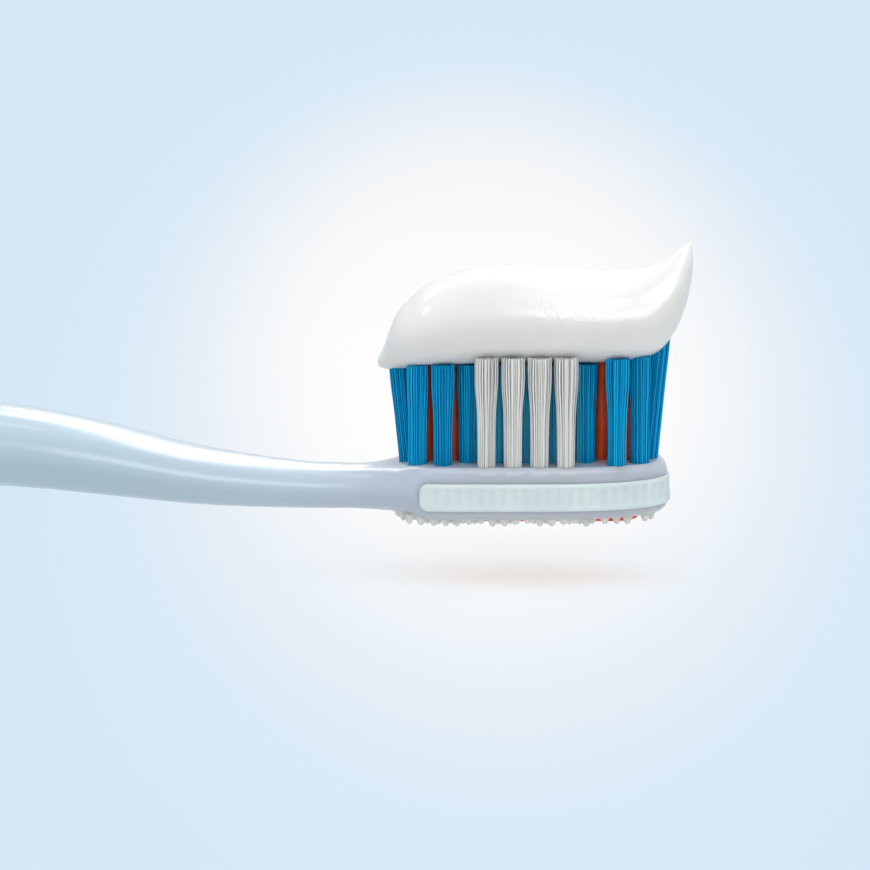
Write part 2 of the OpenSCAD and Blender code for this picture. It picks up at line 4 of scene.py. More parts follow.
import bmesh
import bpy
from mathutils import Matrix, Vector

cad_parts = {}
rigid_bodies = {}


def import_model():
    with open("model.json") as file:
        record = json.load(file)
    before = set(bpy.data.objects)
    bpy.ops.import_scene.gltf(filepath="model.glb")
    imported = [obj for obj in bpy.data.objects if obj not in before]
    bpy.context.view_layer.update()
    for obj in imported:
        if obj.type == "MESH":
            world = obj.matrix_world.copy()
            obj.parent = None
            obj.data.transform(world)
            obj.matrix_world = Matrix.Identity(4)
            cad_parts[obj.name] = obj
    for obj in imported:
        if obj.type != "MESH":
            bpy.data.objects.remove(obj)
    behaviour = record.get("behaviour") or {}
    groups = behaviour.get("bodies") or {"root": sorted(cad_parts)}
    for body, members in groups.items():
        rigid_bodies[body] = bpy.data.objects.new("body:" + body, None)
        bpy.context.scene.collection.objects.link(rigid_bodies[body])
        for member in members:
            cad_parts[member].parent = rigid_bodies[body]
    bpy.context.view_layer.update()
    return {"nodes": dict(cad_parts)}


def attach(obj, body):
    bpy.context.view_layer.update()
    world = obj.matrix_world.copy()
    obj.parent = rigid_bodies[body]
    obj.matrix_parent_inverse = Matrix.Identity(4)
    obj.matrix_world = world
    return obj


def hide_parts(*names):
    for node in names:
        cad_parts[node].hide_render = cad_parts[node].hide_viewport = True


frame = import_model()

mm = 0.001
nodes = frame["nodes"]

# where the head lies on the part, in millimetres, as in the part's own source
head = {
    "middleX": 128.0,  # middle of the head along the brush
    "faceZ": 6.6,  # height of the bristle face above the table
    "backZ": 0.95,  # height of the back of the head
    "lipZ": 6.72,  # height of the rim round the face
    "toeX": 15.1,  # from the middle to the tip of the toe
    "halfWidth": 6.55,
    "toeBlunt": 2.5,  # 2 would make the toe an ellipse, and more makes it squarer
    "sideDraft": 0.3,  # how far the sides lean in from the back up to the rim
}


# ---- small helpers

def hexColour(code):  # sRGB hex to linear
    parts = [int(code[i:i + 2], 16) / 255 for i in (1, 3, 5)]
    return tuple(c / 12.92 if c <= 0.04045 else ((c + 0.055) / 1.055) ** 2.4 for c in parts) + (1.0,)


def addNode(tree, kind, settings=None, inputs=None):
    node = tree.nodes.new(kind)
    for name, value in (settings or {}).items():
        setattr(node, name, value)
    for name, value in (inputs or {}).items():
        if isinstance(value, bpy.types.NodeSocket):
            tree.links.new(value, node.inputs[name])
        else:
            node.inputs[name].default_value = value
    return node


def blankTree(owner):  # the empty node tree of a material or a world
    owner.use_nodes = True
    owner.node_tree.nodes.clear()
    return owner.node_tree


def newMaterial(name, shaderInputs):  # with its tree, its shader and the Object coordinates
    material = bpy.data.materials.new(name)
    tree = blankTree(material)
    shader = addNode(tree, "ShaderNodeBsdfPrincipled", inputs=shaderInputs)
    addNode(tree, "ShaderNodeOutputMaterial", inputs={"Surface": shader.outputs[0]})
    return material, tree, shader, addNode(tree, "ShaderNodeTexCoord").outputs["Object"]


def centred(tree, centre, reach):  # a place from a centre, both in millimetres, as a share of the reach
    place = addNode(tree, "ShaderNodeTexCoord").outputs["Object"]
    return addNode(tree, "ShaderNodeMapping", inputs={
        "Vector": place, "Location": (-centre[0] / reach[0], -centre[1] / reach[1], 0),
        "Scale": (1 / (reach[0] * mm), 1 / (reach[1] * mm), 0)}).outputs[0]


def setRamp(ramp, stops):  # stops: place, hex colour
    elements = ramp.color_ramp.elements
    while len(elements) > 1:
        elements.remove(elements[-1])
    for i, (place, code) in enumerate(stops):
        element = elements[0] if i == 0 else elements.new(place)
        element.position = place
        element.color = hexColour(code)


def shapeCurve(node, points):  # gives a Float Curve node its points
    curve = node.mapping.curves[0]
    curve.points[0].location = points[0]
    curve.points[1].location = points[-1]
    for place, value in points[1:-1]:
        curve.points.new(place, value)
    node.mapping.update()


def smoothCurve(rows, x, column):  # smooth curve through a table whose first column rises
    i = 0
    while i + 2 < len(rows) and rows[i + 1][0] <= x:
        i += 1

    def slope(k):
        a, b = max(k - 1, 0), min(k + 1, len(rows) - 1)
        return (rows[b][column] - rows[a][column]) / (rows[b][0] - rows[a][0])

    p, q = rows[i], rows[i + 1]
    w = q[0] - p[0]
    t = (x - p[0]) / w
    return (p[column] * (2 * t ** 3 - 3 * t ** 2 + 1) + q[column] * (3 * t ** 2 - 2 * t ** 3)
            + w * (slope(i) * (t ** 3 - 2 * t ** 2 + t) + slope(i + 1) * (t ** 3 - t ** 2)))


def fade(value, start, span):  # from 0 at start to 1 a span further on
    return min(1.0, max(0.0, (value - start) / span))


def toModel(x, y, z):  # millimetres from the middle of the head to metres in the part's frame
    return ((x + head["middleX"]) * mm, y * mm, z * mm)


def loftPiece(name, rings, attributes=None):  # quads between rings of points, capped at both ends
    mesh = bpy.data.meshes.new(name)
    n = len(rings[0])
    faces = []
    for i in range(len(rings) - 1):
        for j in range(n):
            k = (j + 1) % n
            faces.append((i * n + j, i * n + k, (i + 1) * n + k, (i + 1) * n + j))
    last = (len(rings) - 1) * n
    faces.append(tuple(range(n))[::-1])
    faces.append(tuple(last + j for j in range(n)))
    mesh.from_pydata([p for ring in rings for p in ring], [], faces)
    for key, values in (attributes or {}).items():
        mesh.attributes.new(key, "FLOAT", "POINT").data.foreach_set("value", values)
    return finishMesh(name, mesh)


def addObject(name, data):
    thing = bpy.data.objects.new(name, data)
    bpy.context.scene.collection.objects.link(thing)
    return thing


def finishMesh(name, mesh, sharpAngle=None):
    work = bmesh.new()
    work.from_mesh(mesh)
    bmesh.ops.remove_doubles(work, verts=work.verts, dist=1e-6)  # a thousandth of a millimetre
    bmesh.ops.recalc_face_normals(work, faces=work.faces)
    work.to_mesh(mesh)
    work.free()
    mesh.polygons.foreach_set("use_smooth", [True] * len(mesh.polygons))
    if sharpAngle:
        mesh.set_sharp_from_angle(angle=math.radians(sharpAngle))
    return addObject(name, mesh)


def smoothCopy(name, node, sharpAngle):  # a merged copy of a CAD node, shaded as one moulded surface
    mesh = bpy.data.meshes.new(name)
    source = nodes[node].data
    mesh.from_pydata([v.co[:] for v in source.vertices], [], [tuple(p.vertices) for p in source.polygons])
    return finishMesh(name, mesh, sharpAngle)


def startTree(name, inputs):  # an empty Geometry Nodes tree with named inputs, and the sockets that give them
    tree = bpy.data.node_groups.new(name, "GeometryNodeTree")
    for label, kind in inputs.items():
        tree.interface.new_socket(label, in_out="INPUT", socket_type="NodeSocket" + kind)
    tree.interface.new_socket("Geometry", in_out="OUTPUT", socket_type="NodeSocketGeometry")
    return tree, addNode(tree, "NodeGroupInput").outputs


def endTree(tree, shape, material):  # shades the shape smooth, makes its copies real and gives it its material
    smooth = addNode(tree, "GeometryNodeSetShadeSmooth", inputs={"Geometry": shape})
    joined = addNode(tree, "GeometryNodeRealizeInstances", inputs={"Geometry": smooth.outputs[0]})
    coloured = addNode(tree, "GeometryNodeSetMaterial", inputs={"Geometry": joined.outputs[0], "Material": material})
    addNode(tree, "NodeGroupOutput", inputs={"Geometry": coloured.outputs[0]})


def runTree(name, tree, values, start=None):  # runs a Geometry Nodes tree and keeps the result as a mesh
    piece = addObject(name, start or bpy.data.meshes.new(name))
    maker = piece.modifiers.new("maker", "NODES")
    maker.node_group = tree
    for item in tree.interface.items_tree:
        if item.in_out == "INPUT" and item.name in values:
            maker[item.identifier] = values[item.name]
    ready = piece.evaluated_get(bpy.context.evaluated_depsgraph_get())
    made = bpy.data.meshes.new_from_object(ready)
    piece.modifiers.clear()
    piece.data = made
    return piece


def dress(piece, material, slot, *replaced):
    piece.data.materials.clear()
    piece.data.materials.append(material)
    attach(piece, "root")
    if replaced:
        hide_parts(*replaced)


# ---- camera, first, at the photograph's angle
cameraSpec = {
    "aim": (118.16, 0.0, 8.97),  # millimetres
    "elevation": 12.6,  # degrees
    "distance": 600.0,
    "frameWidth": 92.55,  # millimetres that the picture spans at the brush
    "sensor": 36,
}
cameraData = bpy.data.cameras.new("photoCamera")
cameraData.sensor_width = cameraSpec["sensor"]
cameraData.lens = cameraSpec["sensor"] * cameraSpec["distance"] / cameraSpec["frameWidth"]
cameraData.clip_start = 0.01
cameraData.clip_end = 20
camera = addObject("photoCamera", cameraData)
tilt = math.radians(cameraSpec["elevation"])
aim = Vector(cameraSpec["aim"]) * mm
camera.location = aim + Vector((0, -math.cos(tilt), math.sin(tilt))) * cameraSpec["distance"] * mm
camera.rotation_euler = (math.pi / 2 - tilt, 0, 0)
bpy.context.scene.camera = camera
print("camera set")


# ---- materials

# polypropylene, injection moulded and polished: milky, lets light in, with a wet-looking gloss
def makeHandlePlastic():
    spec = {
        "neck": "#B3C7D4",
        "headEnd": "#B6BFCC",
        "turnFrom": 0.085,  # metres along the brush, where the neck's colour begins to turn into the head's
        "turnTo": 0.122,
        "cloud": 0.035,  # metres, size of the cloudy tone changes from the melt's flow
        "cloudTone": (0.93, 1.06),
        # colour of the painted dashes that stand in for the white tufts seen through and in the rim
        "root": "#E4E8EE",
        "paintedDashShow": 0.3,
        "rootsFrom": -4.36,  # millimetres from the middle of the head, first white tuft
        "rootPitch": 2.81,
        "rootZ": 6.15,
        "rootWide": (0.5, 1.2),  # a dash is full this far from its middle, and gone at the second
        "rootTall": (0.02, 0.4),
        "rowFade": 0.2,  # the row of dashes ends over this length
        "wave": 160.0,  # to the metre: the flow waviness of a polished moulding is about 6 mm across
        "waveDepth": 0.0002,
    }
    material, tree, shader, place = newMaterial("milky_polypropylene_polished", {
        "Roughness": 0.27, "IOR": 1.49, "Subsurface Weight": 0.65, "Subsurface Scale": 0.0028,
        "Subsurface Radius": (0.95, 1.0, 1.1), "Coat Weight": 0.3, "Coat Roughness": 0.13,
    })
    along = addNode(tree, "ShaderNodeSeparateXYZ", inputs={"Vector": place})
    share = addNode(tree, "ShaderNodeMapRange", inputs={
        "Value": along.outputs["X"], "From Min": spec["turnFrom"], "From Max": spec["turnTo"]})
    tone = addNode(tree, "ShaderNodeValToRGB", inputs={"Fac": share.outputs[0]})
    setRamp(tone, [(0, spec["neck"]), (1, spec["headEnd"])])
    cloud = addNode(tree, "ShaderNodeTexNoise", inputs={
        "Vector": place, "Scale": 1 / spec["cloud"], "Detail": 3.0, "Roughness": 0.5})
    deepest, palest = spec["cloudTone"]
    soft = addNode(tree, "ShaderNodeMapRange", inputs={
        "Value": cloud.outputs[0], "To Min": deepest, "To Max": palest})
    mixed = addNode(tree, "ShaderNodeMix", {"data_type": "RGBA", "blend_type": "MULTIPLY"}, {
        0: 1.0, 6: tone.outputs[0], 7: soft.outputs[0]})

    # painted light: the white tufts' roots, seen through the clear rim and mirrored in it, are painted on it as one
    # pale dash under each
    def window(value, middle, full, gone):  # in millimetres from the middle
        off = addNode(tree, "ShaderNodeMath", {"operation": "SUBTRACT"}, {0: value, 1: middle * mm})
        far = addNode(tree, "ShaderNodeMath", {"operation": "ABSOLUTE"}, {0: off.outputs[0]})
        return addNode(tree, "ShaderNodeMapRange", {"interpolation_type": "SMOOTHSTEP"}, {
            "Value": far.outputs[0], "From Min": gone * mm, "From Max": full * mm}).outputs[0]

    first = head["middleX"] + spec["rootsFrom"] - spec["rootPitch"] / 2
    half = 2 * spec["rootPitch"]  # of the row of four dashes
    sinceFirst = addNode(tree, "ShaderNodeMath", {"operation": "SUBTRACT"}, {0: along.outputs["X"], 1: first * mm})
    inTurn = addNode(tree, "ShaderNodeMath", {"operation": "FLOORED_MODULO"}, {
        0: sinceFirst.outputs[0], 1: spec["rootPitch"] * mm})
    shown = window(inTurn.outputs[0], spec["rootPitch"] / 2, *spec["rootWide"])
    row = window(along.outputs["X"], first + half, half - spec["rowFade"], half)
    level = window(along.outputs["Z"], spec["rootZ"], *spec["rootTall"])
    for factor in (row, level, spec["paintedDashShow"]):
        shown = addNode(tree, "ShaderNodeMath", {"operation": "MULTIPLY"}, {0: shown, 1: factor}).outputs[0]
    paintedDashes = addNode(tree, "ShaderNodeMix", {"data_type": "RGBA"}, {
        0: shown, 6: mixed.outputs[2], 7: hexColour(spec["root"])})
    tree.links.new(paintedDashes.outputs[2], shader.inputs["Base Color"])
    wave = addNode(tree, "ShaderNodeTexNoise", inputs={
        "Vector": place, "Scale": spec["wave"], "Detail": 1.0})
    bump = addNode(tree, "ShaderNodeBump", inputs={
        "Strength": 0.12, "Distance": spec["waveDepth"], "Height": wave.outputs[0]})
    tree.links.new(bump.outputs[0], shader.inputs["Normal"])
    return material


# thermoplastic rubber, moulded: satin, a little clouded in tone, with a grain that breaks up its shine
def makeRubber(name, spec):
    material, tree, shader, place = newMaterial(name, {
        "Roughness": spec["roughness"], "IOR": 1.5, "Subsurface Weight": spec["milky"],
        "Subsurface Scale": spec["depth"], "Subsurface Radius": spec["spread"],
    })
    cloud = addNode(tree, "ShaderNodeTexNoise", inputs={
        "Vector": place, "Scale": spec["cloud"], "Detail": spec["cloudDetail"],
        "Roughness": spec["cloudRoughness"]})
    tone = addNode(tree, "ShaderNodeValToRGB", inputs={"Fac": cloud.outputs[0]})
    setRamp(tone, spec["tones"])
    colour = tone.outputs[0]
    # painted shade: darker in the grooves, a touch lighter on the ribs
    if "paintedRibShade" in spec:
        ribPaintedLight, groovePaintedShade = spec["paintedRibShade"]
        groove = addNode(tree, "ShaderNodeAttribute", {"attribute_name": "groove"})
        paintedGrooveShading = addNode(tree, "ShaderNodeMapRange", inputs={
            "Value": groove.outputs["Fac"], "To Min": ribPaintedLight, "To Max": groovePaintedShade})
        colour = addNode(tree, "ShaderNodeMix", {"data_type": "RGBA", "blend_type": "MULTIPLY"}, {
            0: 1.0, 6: colour, 7: paintedGrooveShading.outputs[0]}).outputs[2]
    tree.links.new(colour, shader.inputs["Base Color"])
    grain = addNode(tree, "ShaderNodeTexNoise", inputs={
        "Vector": place, "Scale": spec["grain"], "Detail": spec["grainDetail"]})
    bump = addNode(tree, "ShaderNodeBump", inputs={
        "Strength": spec["grainShow"], "Distance": spec["grainDepth"], "Height": grain.outputs[0]})
    tree.links.new(bump.outputs[0], shader.inputs["Normal"])
    return material


# nylon monofilament, drawn and crimped: each strand a little lighter or darker, silky along its length
def makeFilamentNylon(name, dark, middle, light, paintedInnerLight):
    spec = {
        "walled": (6.0, 4.1),  # millimetres each way from the head's middle to the end of the walled-in tufts
        "walledEdge": 0.9,  # share of that where the painted lighter tone begins to fade
        "drawn": (9000, 9000, 500),  # to the metre: drawing lines 0.1 mm apart and 2 mm long
        "drawnDepth": 0.00001,
    }
    material, tree, shader, place = newMaterial(name, {
        "Roughness": 0.42, "IOR": 1.53, "Specular IOR Level": 0.12, "Subsurface Weight": 0.35,
        "Subsurface Scale": 0.0005, "Subsurface Radius": (1.0, 1.0, 1.0),
    })
    strand = addNode(tree, "ShaderNodeAttribute", {"attribute_name": "strandTone"})
    tone = addNode(tree, "ShaderNodeValToRGB", inputs={"Fac": strand.outputs["Fac"]})
    setRamp(tone, [(0.0, dark), (0.45, middle), (1.0, light)])
    # painted light: the tufts walled in by the white ones are painted a lighter tone, for the light that comes to
    # them through the white strands
    parts = addNode(tree, "ShaderNodeSeparateXYZ", inputs={
        "Vector": centred(tree, (head["middleX"], 0), spec["walled"])})
    sides = [addNode(tree, "ShaderNodeMath", {"operation": "ABSOLUTE"}, {0: parts.outputs[axis]}) for axis in "XY"]
    off = addNode(tree, "ShaderNodeMath", {"operation": "MAXIMUM"}, {0: sides[0].outputs[0], 1: sides[1].outputs[0]})
    inside = addNode(tree, "ShaderNodeMapRange", {"interpolation_type": "SMOOTHSTEP"}, {
        "Value": off.outputs[0], "From Min": 1.0, "From Max": spec["walledEdge"]})
    paintedLighter = addNode(tree, "ShaderNodeMix", {"data_type": "RGBA"}, {
        0: inside.outputs[0], 6: tone.outputs[0], 7: hexColour(paintedInnerLight)})
    tree.links.new(paintedLighter.outputs[2], shader.inputs["Base Color"])
    stretch = addNode(tree, "ShaderNodeMapping", inputs={"Vector": place, "Scale": spec["drawn"]})
    drawn = addNode(tree, "ShaderNodeTexNoise", inputs={"Vector": stretch.outputs[0], "Scale": 1.0, "Detail": 1.0})
    bump = addNode(tree, "ShaderNodeBump", inputs={
        "Strength": 0.15, "Distance": spec["drawnDepth"], "Height": drawn.outputs[0]})
    tree.links.new(bump.outputs[0], shader.inputs["Normal"])
    return material


# toothpaste, squeezed out: dense white cream that scatters light, smooth and wet, with a few tiny bubbles
def makePaste():
    spec = {
        "tones": [(0.3, "#DCDDDA"), (0.7, "#E5E6E3")],
        "cloud": 120.0,  # to the metre, so about 8 mm across
        "bubble": 0.00042,  # metres across, drawn coarser than real so that they show
        "bubbleDepth": 0.0001,
        "patchAt": (0.133, -0.006, 0.0235),
        "patchReach": 0.0085,
        "patchCore": 0.002,
    }
    material, tree, shader, place = newMaterial("white_toothpaste_wet", {
        "Roughness": 0.5, "IOR": 1.4, "Subsurface Weight": 0.8, "Subsurface Scale": 0.0012,
        "Subsurface Radius": (1.0, 1.0, 0.97), "Coat Weight": 0.85, "Coat Roughness": 0.17,
    })
    cloud = addNode(tree, "ShaderNodeTexNoise", inputs={
        "Vector": place, "Scale": spec["cloud"], "Detail": 3.0})
    tone = addNode(tree, "ShaderNodeValToRGB", inputs={"Fac": cloud.outputs[0]})
    setRamp(tone, spec["tones"])
    tree.links.new(tone.outputs[0], shader.inputs["Base Color"])
    # the fine bumps show in one patch, where the paste was drawn out
    away = addNode(tree, "ShaderNodeVectorMath", {"operation": "DISTANCE"}, {
        0: place, 1: spec["patchAt"]})
    patchMask = addNode(tree, "ShaderNodeMapRange", {"interpolation_type": "SMOOTHSTEP"}, {
        "Value": away.outputs["Value"], "From Min": spec["patchReach"], "From Max": spec["patchCore"]})
    bubbles = addNode(tree, "ShaderNodeTexNoise", inputs={
        "Vector": place, "Scale": 1 / spec["bubble"], "Detail": 1.0})
    height = addNode(tree, "ShaderNodeMath", {"operation": "MULTIPLY"}, {
        0: patchMask.outputs[0], 1: bubbles.outputs[0]})
    bump = addNode(tree, "ShaderNodeBump", inputs={
        "Strength": 0.6, "Distance": spec["bubbleDepth"], "Height": height.outputs[0]})
    tree.links.new(bump.outputs[0], shader.inputs["Normal"])
    tree.links.new(bump.outputs[0], shader.inputs["Coat Normal"])
    return material


# nickel silver, stamped from wire: bright edges, faint drawing lines
def makeAnchorMetal():
    spec = {
        "tones": [(0.3, "#B9A77A"), (0.7, "#D6C79C")],
        "lines": (600, 600, 12000),  # to the metre, so 2 mm long and less than 0.1 mm apart
        "lineDepth": 0.00001,
    }
    material, tree, shader, place = newMaterial("nickel_silver_stamped", {"Metallic": 1.0, "Roughness": 0.3})
    stretch = addNode(tree, "ShaderNodeMapping", inputs={"Vector": place, "Scale": spec["lines"]})
    lines = addNode(tree, "ShaderNodeTexNoise", inputs={"Vector": stretch.outputs[0], "Scale": 1.0, "Detail": 2.0})
    tone = addNode(tree, "ShaderNodeValToRGB", inputs={"Fac": lines.outputs[0]})
    setRamp(tone, spec["tones"])
    tree.links.new(tone.outputs[0], shader.inputs["Base Color"])
    bump = addNode(tree, "ShaderNodeBump", inputs={
        "Strength": 0.1, "Distance": spec["lineDepth"], "Height": lines.outputs[0]})
    tree.links.new(bump.outputs[0], shader.inputs["Normal"])
    return material


handlePlastic = makeHandlePlastic()
# clouds and grains are to the metre: 500 is 2 mm across, and 5000 is 0.2 mm, about as fine as shows
# pale aqua, moulded on: satin, with a fine bloom, and with painted shade: a little darker in the grooves and a touch
# lighter on the ribs
stripRubber = makeRubber("pale_aqua_thermoplastic_rubber", {
    "tones": [(0.3, "#CCDCDD"), (0.7, "#D8E6E6")], "paintedRibShade": (1.01, 0.965),
    "roughness": 0.42, "milky": 0.3, "depth": 0.0008, "spread": (1.0, 1.0, 1.0),
    "cloud": 260.0, "cloudDetail": 4.0, "cloudRoughness": 0.6,
    "grain": 5000.0, "grainDetail": 2.0, "grainShow": 0.25, "grainDepth": 0.00002})
# greyish white nubs: duller, and more see-through at the tips
nubRubber = makeRubber("greyish_white_thermoplastic_rubber", {
    "tones": [(0.3, "#CBD0CB"), (0.7, "#E4E7E3")],
    "roughness": 0.38, "milky": 0.6, "depth": 0.0007, "spread": (1.0, 1.0, 0.9),
    "cloud": 600.0, "cloudDetail": 3.0, "cloudRoughness": 0.5,
    "grain": 600.0, "grainDetail": 3.0, "grainShow": 0.2, "grainDepth": 0.00003})
# orange cups: satin, slightly mottled
cupRubber = makeRubber("orange_thermoplastic_rubber", {
    "tones": [(0.3, "#F65A36"), (0.7, "#FF683F")],
    "roughness": 0.4, "milky": 0.5, "depth": 0.0016, "spread": (1.0, 0.35, 0.15),
    "cloud": 500.0, "cloudDetail": 3.0, "cloudRoughness": 0.5,
    "grain": 6000.0, "grainDetail": 2.0, "grainShow": 0.25, "grainDepth": 0.00002})
whiteNylon = makeFilamentNylon(
    "white_nylon_filament", dark="#C6C9C7", middle="#EDEFEB", light="#FCFCF9", paintedInnerLight="#F4F5F2")
blueNylon = makeFilamentNylon(
    "blue_nylon_filament", dark="#007DB8", middle="#009DD9", light="#12B4EB", paintedInnerLight="#45C6F6")
pasteCream = makePaste()
anchorMetal = makeAnchorMetal()
print("materials made")


# ---- handle, neck and head: one moulding
handlePiece = smoothCopy("handleMoulding", "handle", sharpAngle=38)
dress(handlePiece, handlePlastic, "clear_plastic", "handle")
print("handle made")


# ---- soft strip round the head's edge, with upright ribs
stripSpec = {
    "fromX": -11.5,  # where its rounded ends begin
    "top": 5.05,
    "low": 2.1,
    "seat": 0.3,  # how far it reaches into the head
    "proud": 0.24,
    "edgeProud": 0.02,
    "endRadius": 0.9,
    "ribPitch": 1.18,
    "ribDepth": 0.1,
    "ribPower": 1.6,  # more makes the grooves narrower
    "ribsFrom": (0.7, 1.4),  # from an end, where the ribs begin and the length over which they grow
    "bandFrom": (0.35, 0.3),  # the same for the ribbed band
    "bandHalf": 0.36,  # half of the band, as a share of the strip's height
    "borderDrop": 0.05,  # how far the ribbed band lies below its smooth border
    "step": 0.16,
}
headPlan = [(-14.07, 5.05), (-12.5, 5.99), (-10.5, 6.45), (-6.5, 6.55), (0.0, 6.55)]


def headSide(count):  # half of the head's plan outline: x, half width, normal, from the heel to the toe
    points = []
    x = stripSpec["fromX"]
    edgeSteps = [stripSpec["endRadius"] * (1 - math.cos(math.radians(a))) for a in range(5, 90, 9)]
    for d in edgeSteps:
        points.append((x + d, smoothCurve(headPlan, x + d, 1), 0.0, 1.0))
    x += stripSpec["endRadius"] + stripSpec["step"] / 2
    while x < 0:
        points.append((x, smoothCurve(headPlan, x, 1), 0.0, 1.0))
        x += stripSpec["step"]
    blunt, toeX, halfWidth = head["toeBlunt"], head["toeX"], head["halfWidth"]
    for k in range(count):
        a = math.radians(90 * k / (count - 1))
        px = toeX * math.sin(a) ** (2 / blunt)
        py = halfWidth * max(math.cos(a), 0) ** (2 / blunt)
        gx = (px / toeX) ** (blunt - 1) / toeX
        gy = (py / halfWidth) ** (blunt - 1) / halfWidth
        g = math.hypot(gx, gy)
        points.append((px, py, gx / g, gy / g))
    return points


def evenPath(points, step):  # drops points that crowd, but none of the rounded end
    roundTo = stripSpec["fromX"] + stripSpec["endRadius"]
    kept = [points[0]]
    for p in points[1:]:
        if p[0] < roundTo or math.hypot(p[0] - kept[-1][0], p[1] - kept[-1][1]) > step:
            kept.append(p)
    if kept[-1][1] > 0.001:
        kept.append(points[-1])
    return kept


def makeStrip():
    path = evenPath(headSide(900), stripSpec["step"] * 0.9)
    near = [(x, -y, nx, -ny) for x, y, nx, ny in path]
    far = [p for p in reversed(path) if p[1] > 0.001]
    whole = near + far
    lengths = [0.0]
    for a, b in zip(whole, whole[1:]):
        lengths.append(lengths[-1] + math.hypot(b[0] - a[0], b[1] - a[1]))
    total = lengths[-1]
    # share of the strip's height, share of how far it stands proud
    section = [(0.0, 0.1), (0.02, 0.5), (0.05, 0.78), (0.1, 0.95)]
    section += [(share, 1.0) for share in (0.16, 0.22, 0.3, 0.4, 0.5, 0.6, 0.7, 0.78, 0.84)]
    section += [(0.9, 0.95), (0.95, 0.78), (0.98, 0.5), (1.0, 0.1)]
    flush, r = stripSpec["edgeProud"], stripSpec["endRadius"]
    rings, grooves = [], []
    for (x, y, nx, ny), s in zip(whole, lengths):
        fromEnd = min(s, total - s)
        cut = r - math.sqrt(max(0.0, r * r - max(0.0, r - fromEnd) ** 2))
        low, high = stripSpec["low"] + cut, stripSpec["top"] - cut
        soft = min(1.0, 0.25 + fromEnd / r)
        ribs = fade(fromEnd, *stripSpec["ribsFrom"])
        groove = ribs * (0.5 - 0.5 * math.cos(2 * math.pi * s / stripSpec["ribPitch"])) ** stripSpec["ribPower"]
        drop = stripSpec["ribDepth"] * groove + stripSpec["borderDrop"]

        def at(z, out):
            draft = head["sideDraft"] * (z - head["backZ"]) / (head["lipZ"] - head["backZ"])
            e = out - draft
            return toModel(x + e * nx, y + e * ny, z)

        ring = [at(low, -stripSpec["seat"])]
        grooves.append(0.0)
        banded = fade(fromEnd, *stripSpec["bandFrom"])
        for share, lift in section:
            band = max(0.0, 1 - (abs(share - 0.5) / stripSpec["bandHalf"]) ** 6) * banded
            out = flush + (stripSpec["proud"] - flush) * lift * soft - drop * band
            ring.append(at(low + (high - low) * share, out))
            grooves.append(groove * band)
        ring.append(at(high, -stripSpec["seat"]))
        grooves.append(0.0)
        rings.append(ring)
    return loftPiece("edgeStrip", rings, {"groove": grooves})


stripPiece = makeStrip()
dress(stripPiece, stripRubber, "pale_rubber", "side_strip")
print("strip made")


# ---- orange cups: moulded walls, rings on the back
cupPiece = smoothCopy("polishingCups", "polishing_cups", sharpAngle=40)
ringHeightKept = 0.93  # the soft rings on the back are worn a little lower than the nubs round them
for vert in cupPiece.data.vertices:
    proud = head["backZ"] * mm - vert.co.z
    if proud > 0:
        vert.co.z += proud * (1 - ringHeightKept)
dress(cupPiece, cupRubber, "orange_rubber", "polishing_cups")
print("cups made")


# ---- tongue cleaner: the soft pad, and rounded nubs in staggered rows on it
nubSpec = {
    "pitch": 1.25,
    "rowPitch": 1.0875,
    "height": 0.95,  # of the tallest ones, which the head lies on
    "lowest": 0.52,  # share of that height
    "uneven": 0.62,  # the share that comes on top, from none of it to all
    "rootRadius": 0.6,
    "girth": (0.86, 1.06),
    "form": [(0.0, 1.0), (0.22, 0.92), (0.5, 0.76), (0.78, 0.56), (0.93, 0.34), (1.0, 0.06)],  # height, radius
    "lean": 7.0,  # degrees, at most
    "seat": 0.06,
    "cupX": 9.2,
    "ringRadius": 2.6,
    "barY": 2.2,
    "barHalf": 0.4,
    "clear": 0.42,  # left free round the orange rings and bars
    "reach": (13.45, 4.8),
    "heelFrom": (-11.7, 2.65),
    "heelRise": (-9.6, 4.6),  # where the underside of the heel starts to rise, and over what length
    "heelLift": 0.85,
    "heelLonger": 0.45,  # share of its lift by which a nub there is longer
    "byRing": 0.3,  # the nubs beside a ring stand taller
    "padSharp": 45,  # degrees
    "seed": 5,
}


def heelShare(x):  # from 0 on the head to 1 where its underside rounds up into the neck
    startX, span = nubSpec["heelRise"]
    return fade(startX - x, 0.0, span) ** 1.5


def nubPlaces():  # x, y and height of each nub, clear of the orange rings and bars
    places = []
    for i in range(-12, 13):
        for j in range(-4, 5):
            x = (i + (abs(j) % 2) / 2) * nubSpec["pitch"]
            y = j * nubSpec["rowPitch"]
            reachX, reachY = nubSpec["reach"]
            if x > 0:
                inside = (x / reachX) ** head["toeBlunt"] + (abs(y) / reachY) ** head["toeBlunt"] <= 1
            else:
                fromX, span = nubSpec["heelFrom"]
                inside = math.hypot(max(0, fromX - x) / span, y / reachY) <= 1
            nearRing = math.hypot(abs(x) - nubSpec["cupX"], y) < nubSpec["ringRadius"] + nubSpec["clear"]
            nearBar = (abs(x) < nubSpec["cupX"]
                       and abs(abs(y) - nubSpec["barY"]) < nubSpec["barHalf"] + nubSpec["clear"])
            if inside and not nearRing and not nearBar:
                share = nubSpec["lowest"] + nubSpec["uneven"] * abs(
                    math.sin(math.radians(97 * i + 41 * j + 13 * i * j)))
                if abs(abs(x) - nubSpec["cupX"]) < nubSpec["ringRadius"]:
                    share += nubSpec["byRing"]
                places.append((x, y, nubSpec["height"] * min(1, share)))
    return places


